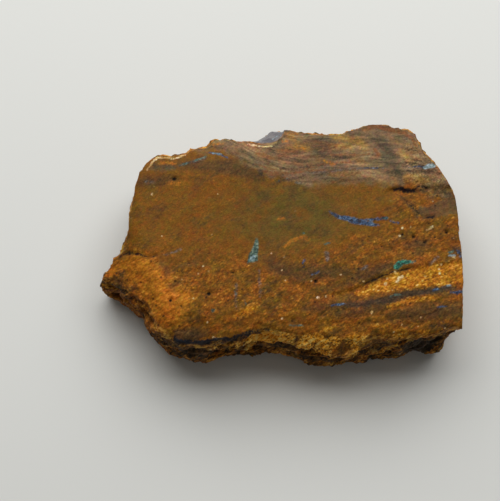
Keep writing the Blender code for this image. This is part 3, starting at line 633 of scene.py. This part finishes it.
class Shader:
    """Short names for the nodes that a material is built from."""

    # Where a colour Mix node keeps its two colours and its result
    MIX_FIRST, MIX_SECOND, MIX_RESULT = 6, 7, 2

    def __init__(self, name):
        self.material = bpy.data.materials.new(name)
        self.material.use_nodes = True
        self.nodes = self.material.node_tree.nodes
        self.links = self.material.node_tree.links
        self.surface = self.nodes["Principled BSDF"]

    def join(self, value, socket):
        """Link a node's output to a socket, or set a plain value on it."""
        if isinstance(value, bpy.types.NodeSocket):
            self.links.new(value, socket)
        else:
            socket.default_value = value

    def place(self, stretch=(1.0, 1.0, 1.0), turn=0.0, rise=0.0, shift=0.0):
        """Object coordinates in millimetres, in which all is stretched along an x axis that
        turns to the left and rises by the given degrees."""
        where = self.nodes.new("ShaderNodeTexCoord")
        turned = self.nodes.new("ShaderNodeMapping")
        turned.vector_type = "TEXTURE"
        turned.inputs["Location"].default_value = (shift * MM, 0.0, 0.0)
        turned.inputs["Rotation"].default_value = (0.0, math.radians(-rise), math.radians(turn))
        turned.inputs["Scale"].default_value = [factor * MM for factor in stretch]
        self.join(where.outputs["Object"], turned.inputs["Vector"])
        return turned.outputs["Vector"]

    def noise(self, place, length, detail=3.0, roughness=0.6, warp=0.0, output="Fac"):
        """Noise of the given length in millimetres, about 0.3 to 0.7."""
        node = self.nodes.new("ShaderNodeTexNoise")
        self.join(place, node.inputs["Vector"])
        node.inputs["Scale"].default_value = 1.0 / length
        node.inputs["Detail"].default_value = detail
        node.inputs["Roughness"].default_value = roughness
        node.inputs["Distortion"].default_value = warp
        return node.outputs[output]

    def hues(self, place, length):
        """Noise with a colour of its own at every place, grey on the whole."""
        return self.noise(place, length, detail=2.0, roughness=0.5, output="Color")

    def cells(self, place, length):
        """Scattered points: the distance to the nearest, and a random number for each."""
        node = self.nodes.new("ShaderNodeTexVoronoi")
        self.join(place, node.inputs["Vector"])
        node.inputs["Scale"].default_value = 1.0 / length
        grey = self.nodes.new("ShaderNodeSeparateColor")
        self.join(node.outputs["Color"], grey.inputs["Color"])
        return node.outputs["Distance"], grey.outputs["Red"]

    def field(self, name):
        """One of the numbers stored on the mesh."""
        node = self.nodes.new("ShaderNodeAttribute")
        node.attribute_name = name
        return node.outputs["Fac"]

    def math(self, operation, first, second=0.0):
        """One sum."""
        node = self.nodes.new("ShaderNodeMath")
        node.operation = operation
        self.join(first, node.inputs[0])
        self.join(second, node.inputs[1])
        return node.outputs["Value"]

    def times(self, first, second):
        """A product."""
        return self.math("MULTIPLY", first, second)

    def mixed(self, parts):
        """A weighted sum of values, given as (weight, value) pairs."""
        total = 0.0
        for weight, value in parts:
            total = self.math("ADD", total, self.times(value, weight))
        return total

    def rise(self, value, start, end, low=0.0, high=1.0):
        """Low before start, high after end, and smooth between them."""
        node = self.nodes.new("ShaderNodeMapRange")
        node.interpolation_type = "SMOOTHSTEP"
        self.join(value, node.inputs["Value"])
        node.inputs["From Min"].default_value = start
        node.inputs["From Max"].default_value = end
        node.inputs["To Min"].default_value = low
        node.inputs["To Max"].default_value = high
        return node.outputs["Result"]

    def blend(self, share, first, second, mode="MIX"):
        """Two colours mixed by a share."""
        node = self.nodes.new("ShaderNodeMix")
        node.data_type = "RGBA"
        node.blend_type = mode
        self.join(share, node.inputs["Factor"])
        self.join(first, node.inputs[self.MIX_FIRST])
        self.join(second, node.inputs[self.MIX_SECOND])
        return node.outputs[self.MIX_RESULT]

    def ramp(self, value, colours):
        """Colours read off a scale from 0 to 1, spaced evenly along it."""
        node = self.nodes.new("ShaderNodeValToRGB")
        self.join(value, node.inputs["Fac"])
        steps = node.color_ramp.elements
        while len(steps) < len(colours):
            steps.new(1.0)
        for index, colour in enumerate(colours):
            steps[index].position = index / (len(colours) - 1)
            steps[index].color = linear(*colour)
        return node.outputs["Color"]


# Colours of each scale of tones, from dark to light, as on a screen
BROWN = [(40, 25, 7), (82, 53, 13), (108, 71, 18), (132, 85, 20), (172, 114, 32), (224, 178, 92)]
OLIVE = [(52, 39, 14), (80, 60, 20), (99, 76, 27), (118, 90, 34), (150, 116, 52)]
GREY_BROWN = [(36, 27, 16), (64, 47, 27), (88, 66, 38), (112, 86, 52)]
WARM = [(58, 32, 8), (106, 62, 12), (142, 84, 18), (178, 112, 34)]
RUST = [(52, 26, 7), (108, 60, 12), (144, 82, 16), (188, 116, 34), (226, 166, 86)]
EMBER = [(70, 38, 12), (140, 82, 20), (186, 112, 28), (212, 136, 42), (240, 184, 92)]
# The bands are greyer and lighter than the ground, partly as painted sheen of the light from behind
BANDS = [(60, 48, 36), (92, 74, 53), (117, 95, 69), (141, 114, 80), (170, 143, 100)]
AMBER = [(104, 70, 24), (132, 93, 36), (158, 116, 48), (180, 136, 64), (204, 162, 92)]
SHADE = [(36, 33, 26), (56, 50, 38), (74, 66, 50), (94, 83, 62), (118, 103, 76)]
RED = [(72, 44, 24), (110, 69, 38), (140, 91, 52), (172, 120, 74)]
ROCK = [(19, 14, 9), (50, 34, 18), (90, 60, 24), (130, 82, 24), (172, 112, 34), (204, 150, 68)]
PLUM = [(46, 34, 22), (80, 60, 38), (108, 83, 50), (132, 104, 66)]
DARK = [(20, 18, 17), (48, 40, 31), (75, 60, 43), (106, 84, 58)]
GOLD = [(58, 32, 5), (120, 70, 8), (164, 100, 14), (198, 132, 30), (228, 174, 76), (246, 222, 164)]
CREAM = [(176, 132, 66), (214, 180, 120), (240, 224, 184)]
# The crystals run up to near white gold: their colour, and painted glints on top of it
CRYSTAL_AND_GLINT = [(60, 32, 8), (176, 104, 18), (255, 166, 40), (255, 186, 66), (255, 212, 112)]
DARK_RIM_LINE = [(12, 16, 21), (24, 31, 40), (46, 56, 68)]
GLASS = [(86, 82, 86), (108, 104, 107), (130, 126, 124)]
# The inks that are opal, in the order in which they are laid on
OPAL = {
    "slate": [(46, 42, 40), (70, 68, 66), (94, 94, 92), (130, 132, 132)],
    "blue": [(24, 32, 46), (34, 58, 86), (54, 84, 118), (112, 136, 156)],
    "teal": [(40, 52, 46), (52, 84, 76), (82, 108, 96), (132, 146, 126)],
    "green": [(28, 62, 54), (34, 110, 94), (52, 138, 114), (120, 170, 142)],
    "pale": [(92, 112, 112), (132, 154, 158), (176, 196, 208)],
}
# Single colours, all painted shade: in hollows, along cracks and steps, in pits and in holes
HOLLOW_SHADE = (24, 16, 10)
SHADOW_LINE_BLACK = (17, 18, 22)
PIT_SHADE = (12, 8, 5)
HOLE_SHADE = (24, 15, 9)

# The edge of each ink: how ragged and how soft it is, and how strong the ink is inside it
EDGES = {
    "ember": (1.6, 0.50, 0.95),
    "umber": (1.2, 0.40, 0.75),
    "amber": (1.4, 0.30, 0.65),
    "shade": (1.3, 0.26, 0.72),
    "red": (0.5, 0.08, 0.78),
    "orange": (0.9, 0.14, 0.70),
    "russet": (0.9, 0.15, 0.60),
    "plum": (0.7, 0.10, 0.80),
    "dark": (1.2, 0.17, 0.78),
    "gold": (1.1, 0.18, 0.92),
    "shaded_recess": (0.5, 0.08, 0.92),
    "shadow_line": (0.40, 0.05, 0.94),
    "cream": (0.35, 0.06, 0.90),
    "crystal": (1.7, 0.10, 0.95),
    "dark_rock_and_shade": (1.1, 0.14, 0.72),
    "dark_rim_line": (0.45, 0.05, 0.95),
    "slate": (0.55, 0.10, 0.62),
    "blue": (0.45, 0.07, 0.92),
    "teal": (0.35, 0.06, 0.92),
    "green": (0.35, 0.06, 0.95),
    "pale": (0.35, 0.07, 0.85),
}
ROCK_ROUGHNESS = 0.60
OPAL_ROUGHNESS = 0.25
SPECULAR = 0.10
BUMP = 0.035                # height of the finest grain, which is bump alone
BAND_STRETCH = 4.0          # the stripes of the bands are this much longer than wide
ANOTHER_PLACE = 20.0        # a step across the bands, to read other stripes than the first ones


class Stone(Shader):
    """Ground and broken ironstone with its stains and grains, the opal in it, and painted light and
    shade.

    Each method that is given the face's colour adds one layer to it.
    """

    def __init__(self):
        super().__init__("ironstone_with_opal")
        # Most of what is fine in the rock is drawn out towards the back right
        self.still = self.place()
        self.raked = self.place((1.9, 1.0, 1.0), turn=33, rise=25)
        self.fine = self.noise(self.raked, 0.12, roughness=0.7)
        self.medium = self.noise(self.raked, 0.5)
        self.grit = self.noise(self.still, 0.065, detail=2.0)
        self.streaks = self.noise(self.place((4.0, 1.0, 1.0), turn=24, rise=25), 0.16, roughness=0.65)
        self.granule = self.granules()
        self.ragged = self.ragged_edge()
        self.grainy = self.field("grainy")
        self.below = self.field("below")
        self.crystals = self.times(self.ink("crystal"), self.below)

        fine, medium, grit = self.fine, self.medium, self.grit
        streaks, granule = self.streaks, self.granule
        self.smooth_tone = self.spread(1.5, [(0.45, fine), (0.20, medium), (0.35, grit)])
        self.coarse_tone = self.spread(2.4, [(0.45, fine), (0.20, medium), (0.15, granule),
                                             (0.20, grit)])
        self.ember_tone = self.spread(2.5, [(0.35, fine), (0.20, medium), (0.20, streaks),
                                            (0.12, granule), (0.13, grit)])
        self.gold_tone = self.spread(3.2, [(0.25, fine), (0.20, medium), (0.35, streaks),
                                           (0.12, granule), (0.08, grit)])

    def granules(self):
        """Granules that are light in the middle and dark in the gaps, each of its own tone."""
        near, chance = self.cells(self.place((2.2, 1.0, 1.0), turn=32, rise=25), 0.17)
        return self.mixed([(0.45, self.rise(near, 0.75, 0.15)), (0.55, chance)])

    def ragged_edge(self):
        """Noise around 0 that makes the edges of the inks ragged."""
        fine = self.noise(self.still, 0.14, roughness=0.7)
        coarse = self.noise(self.still, 0.45, detail=2.0, roughness=0.55)
        return self.math("SUBTRACT", self.mixed([(0.6, fine), (0.4, coarse)]), 0.5)

    def spread(self, contrast, parts):
        """A mixture of noises spread over 0 to 1."""
        centred = self.math("SUBTRACT", self.mixed(parts), 0.5)
        return self.math("ADD", self.times(centred, contrast), 0.5)

    def ink(self, name):
        """The share of an ink at each place."""
        ragged, soft, strength = EDGES[name]
        edge = self.math("ADD", self.field(name), self.times(self.ragged, ragged))
        return self.rise(edge, -soft, soft, 0.0, strength)

    def tint(self, face, share, tone, colours):
        """The face with a share of a scale's colours on it."""
        return self.blend(share, face, self.ramp(tone, colours))

    def stain(self, face, name, tone, colours, within=1.0):
        """The face with an ink on it, within a zone."""
        return self.tint(face, self.times(self.ink(name), within), tone, colours)

    def ground(self):
        """The ground face: olive in the middle, warmer outside it, greyer and redder in patches."""
        grey_place = self.place((2.2, 1.0, 1.0), turn=30, shift=7.0)
        rust_place = self.place((2.4, 1.0, 1.0), turn=30, shift=13.0)
        greyer = self.noise(grey_place, 0.80, detail=4.0, roughness=0.65)
        rustier = self.noise(rust_place, 0.95, detail=4.0, roughness=0.65)
        warmer = self.noise(self.still, 1.9)
        face = self.ramp(self.smooth_tone, BROWN)
        face = self.tint(face, self.field("olive"), self.smooth_tone, OLIVE)
        face = self.tint(face, self.grainy, self.coarse_tone, BROWN)
        face = self.tint(face, self.rise(greyer, 0.50, 0.66, 0.0, 0.50), self.coarse_tone, GREY_BROWN)
        face = self.tint(face, self.rise(warmer, 0.50, 0.66, 0.0, 0.45), self.smooth_tone, WARM)
        rust = self.times(self.rise(rustier, 0.46, 0.60, 0.0, 0.70), self.grainy)
        face = self.tint(face, rust, self.coarse_tone, RUST)
        face = self.stain(face, "ember", self.ember_tone, EMBER)
        return self.stain(face, "umber", self.coarse_tone, GREY_BROWN)

    def stripes(self, across, length, roughness, warp):
        """Noise drawn out along the bands, given how far across them each place is."""
        split = self.nodes.new("ShaderNodeSeparateXYZ")
        self.join(self.place((BAND_STRETCH, 1.0, 1.0)), split.inputs["Vector"])
        joined = self.nodes.new("ShaderNodeCombineXYZ")
        self.join(split.outputs["X"], joined.inputs["X"])
        self.join(across, joined.inputs["Y"])
        self.join(split.outputs["Z"], joined.inputs["Z"])
        return self.noise(joined.outputs["Vector"], length, roughness=roughness, warp=warp)

    def bands(self, face):
        """The bent bands along the back, with their redder, golden and shaded parts; their greyer,
        lighter tones are partly painted sheen.
        """
        across = self.field("flow")
        redder = self.stripes(self.math("ADD", across, ANOTHER_PLACE), 1.0, roughness=0.6, warp=1.0)
        light = self.times(self.stripes(across, 0.66, roughness=0.55, warp=1.4), 1.9)
        speckle = self.math("SUBTRACT", self.mixed([(0.7, self.fine), (0.3, self.grit)]), 0.5)
        speckle = self.times(speckle, self.rise(self.grainy, 0.0, 1.0, 1.4, 3.0))
        tone = self.math("ADD", self.math("ADD", light, -0.45), speckle)
        bands = self.ramp(tone, BANDS)
        bands = self.tint(bands, self.rise(redder, 0.48, 0.64, 0.0, 0.55), tone, RED)
        face = self.blend(self.times(self.field("banded"), 0.92), face, bands)
        face = self.stain(face, "amber", tone, AMBER)
        face = self.stain(face, "shade", tone, SHADE)
        face = self.stain(face, "red", self.coarse_tone, RED)
        return self.stain(face, "orange", self.ember_tone, EMBER)

    def broken_rock(self, face):
        """The walls and the underside: dark rock with golden patches, redder under the left tip, and
        lighter towards the rim as painted light.
        """
        layered = self.place((2.2, 1.2, 0.8), rise=25)
        golden = self.noise(layered, 0.7, detail=4.0, roughness=0.7, warp=0.6)
        tone = self.spread(2.8, [(0.50, self.fine), (0.30, self.medium), (0.20, self.granule)])
        # Painted light: the walls grow lighter towards the rim
        tone = self.mixed([(1.0, tone), (1.0, self.rise(golden, 0.42, 0.60, -0.20, 0.30)),
                           (0.20, self.field("painted_rim_light"))])
        broken = self.math("SUBTRACT", 1.0, self.field("top"))
        face = self.tint(face, broken, tone, ROCK)
        return self.stain(face, "russet", self.coarse_tone, RUST, broken)

    def worn_and_shaded_places(self, face):
        """The greyish face at the right, the dark seam, the golden strips, and painted shade in
        hollows, the recess, cracks, steps and pits.
        """
        face = self.stain(face, "plum", self.smooth_tone, PLUM)
        face = self.stain(face, "dark", self.coarse_tone, DARK)
        face = self.stain(face, "gold", self.gold_tone, GOLD)
        # Painted shade, darker where the surface sinks in
        hollow = self.rise(self.field("hollow"), -0.02, 0.24, 0.0, 0.75)
        face = self.blend(hollow, face, linear(*HOLLOW_SHADE))
        # Painted shade in the recess under the front rim
        face = self.stain(face, "shaded_recess", self.coarse_tone, DARK, self.below)
        # Painted shadow lines along cracks and steps
        face = self.blend(self.ink("shadow_line"), face, linear(*SHADOW_LINE_BLACK))
        # Painted shade in the pits
        return self.blend(self.rise(self.field("pit"), -0.05, 0.04), face, linear(*PIT_SHADE))

    def grains(self, face):
        """Cream grains, the placed ones and scattered ones, with pale edges that are partly painted
        highlights, and scattered holes painted dark as their shade.
        """
        cream = self.ramp(self.rise(self.fine, 0.35, 0.65), CREAM)
        face = self.blend(self.ink("cream"), face, cream)
        face = self.blend(self.rise(self.field("speck"), -0.05, 0.04, 0.0, 0.90), face, cream)
        spot, luck = self.cells(self.place((1.3, 1.0, 1.0), turn=30, shift=3.0), 0.62)
        spots = self.times(self.rise(spot, 0.17, 0.08), self.rise(luck, 0.88, 0.93))
        spots = self.times(spots, self.rise(self.grainy, 0.2, 0.9, 0.05, 0.62))
        face = self.blend(spots, face, cream)
        hole, fate = self.cells(self.place((1.2, 1.0, 1.0), turn=30, shift=-5.0), 0.55)
        # Painted shade of scattered holes
        hole_shade = self.times(self.rise(hole, 0.20, 0.10), self.rise(fate, 0.62, 0.72))
        hole_shade = self.times(hole_shade, self.rise(self.grainy, 0.2, 0.9, 0.1, 0.7))
        return self.blend(hole_shade, face, linear(*HOLE_SHADE))

    def shifted_hues(self, face):
        """Small shifts of hue from place to place."""
        face = self.blend(0.30, face, self.hues(self.still, 0.28), "OVERLAY")
        return self.blend(0.22, face, self.hues(self.raked, 0.9), "OVERLAY")

    def front_rim(self, face):
        """Golden crystals below the rim, painted brighter as glints; the dark rock between them, partly
        painted shade; and the thin dark line along the rim.
        """
        tone = self.spread(4.6, [(0.60, self.streaks), (0.25, self.fine), (0.15, self.granule)])
        # Painted glints: the crystals' tone is lifted above their own colour
        face = self.tint(face, self.crystals, self.math("ADD", tone, 0.20), CRYSTAL_AND_GLINT)
        # Dark rock, partly painted shade under the rim and between the clusters
        face = self.stain(face, "dark_rock_and_shade", self.coarse_tone, DARK, self.below)
        return self.stain(face, "dark_rim_line", self.coarse_tone, DARK_RIM_LINE, self.field("high"))

    def facet_and_opal(self, face):
        """The glassy facet and the opal marks, and with them the share of both."""
        glassy = self.field("facet")
        face = self.tint(face, glassy, self.rise(self.medium, 0.30, 0.75), GLASS)
        cloud = self.noise(self.still, 0.3, detail=2.0, roughness=0.55)
        shimmer = self.rise(self.mixed([(0.5, self.fine), (0.5, cloud)]), 0.36, 0.66)
        for name, colours in OPAL.items():
            share = self.ink(name)
            face = self.tint(face, share, shimmer, colours)
            glassy = self.math("MAXIMUM", glassy, share)
        return face, glassy

    def add_bump(self):
        """The finest grain, with bolder granules where the stone is rough."""
        finest = self.noise(self.still, 0.07, detail=2.0, roughness=0.55)
        grain = self.mixed([(1.0, self.fine), (0.6, finest)])
        bold = self.mixed([(1.0, self.rise(self.field("rough"), 0.3, 1.0, 0.2, 1.2)),
                           (1.2, self.crystals)])
        bump = self.nodes.new("ShaderNodeBump")
        bump.inputs["Strength"].default_value = 1.0
        bump.inputs["Distance"].default_value = BUMP * MM
        self.join(self.math("ADD", grain, self.times(self.granule, bold)), bump.inputs["Height"])
        self.join(bump.outputs["Normal"], self.surface.inputs["Normal"])


def stone_material():
    """The one material of the stone, from its ground face to the opal on top."""
    stone = Stone()
    face = stone.bands(stone.ground())
    face = stone.worn_and_shaded_places(stone.broken_rock(face))
    face = stone.shifted_hues(stone.grains(face))
    face, glassy = stone.facet_and_opal(stone.front_rim(face))
    roughness = stone.rise(glassy, 0.0, 1.0, ROCK_ROUGHNESS, OPAL_ROUGHNESS)
    stone.join(face, stone.surface.inputs["Base Color"])
    stone.join(roughness, stone.surface.inputs["Roughness"])
    stone.surface.inputs["Specular IOR Level"].default_value = SPECULAR
    stone.add_bump()
    return stone.material


def build_stone():
    """The one piece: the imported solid's form with its real surface."""
    stone = even_copy(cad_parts[NODE])
    roughen(stone.data)
    stone.data.materials.clear()
    stone.data.materials.append(stone_material())
    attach(stone, "root")
    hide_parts(NODE)


# The stage, in metres
FLOOR_REACH = 1.5
FLOOR_COLOUR = (219, 220, 216)
FLOOR_ROUGHNESS = 0.8
LAMP_PLACE = (0.008, 0.130, 0.153)  # behind the stone and above it, aimed at its foot
LAMP_WIDTH = 0.30
LAMP_LENGTH = 0.20
LAMP_WATTS = 0.64
SURROUNDINGS = (1.0, 0.96, 0.90, 1.0)
SURROUNDINGS_STRENGTH = 0.135

# The photograph's view, fitted to the rule under the stone: place in metres, angles in degrees
CAMERA_PLACE = (-0.002455, -0.027401, 0.111014)
CAMERA_TILT = 14
CAMERA_TURN = -0.49
LENS = 107.8                # in millimetres, on a sensor of this width
SENSOR_WIDTH = 36.0
NEAREST = 0.005


def build_floor():
    """A plain pale floor."""
    square = [(-1, -1), (1, -1), (1, 1), (-1, 1)]
    corners = [(x * FLOOR_REACH, y * FLOOR_REACH, 0) for x, y in square]
    mesh = bpy.data.meshes.new("floor")
    mesh.from_pydata(corners, [], [(0, 1, 2, 3)])
    paper = Shader("pale_floor")
    paper.surface.inputs["Base Color"].default_value = linear(*FLOOR_COLOUR)
    paper.surface.inputs["Roughness"].default_value = FLOOR_ROUGHNESS
    mesh.materials.append(paper.material)
    floor = bpy.data.objects.new("floor", mesh)
    bpy.context.scene.collection.objects.link(floor)


def build_lights():
    """A soft light from behind, and pale surroundings."""
    softbox = bpy.data.lights.new("softbox", "AREA")
    softbox.shape = "RECTANGLE"
    softbox.size = LAMP_WIDTH
    softbox.size_y = LAMP_LENGTH
    softbox.energy = LAMP_WATTS
    lamp = bpy.data.objects.new("softbox", softbox)
    lamp.location = LAMP_PLACE
    lamp.rotation_euler = (-lamp.location).to_track_quat("-Z", "Y").to_euler()
    bpy.context.scene.collection.objects.link(lamp)

    world = bpy.data.worlds.new("pale surroundings")
    world.use_nodes = True
    background = world.node_tree.nodes["Background"]
    background.inputs["Color"].default_value = SURROUNDINGS
    background.inputs["Strength"].default_value = SURROUNDINGS_STRENGTH
    bpy.context.scene.world = world


def build_camera():
    """The photograph's view: nearly straight down, tilted a little from the front."""
    lens = bpy.data.cameras.new("camera")
    lens.lens = LENS
    lens.sensor_width = SENSOR_WIDTH
    lens.clip_start = NEAREST
    camera = bpy.data.objects.new("camera", lens)
    camera.location = CAMERA_PLACE
    camera.rotation_euler = (math.radians(CAMERA_TILT), 0.0, math.radians(CAMERA_TURN))
    bpy.context.scene.collection.objects.link(camera)
    bpy.context.scene.camera = camera
    bpy.context.scene.view_settings.view_transform = "Standard"


build_stone()
build_floor()
build_lights()
build_camera()
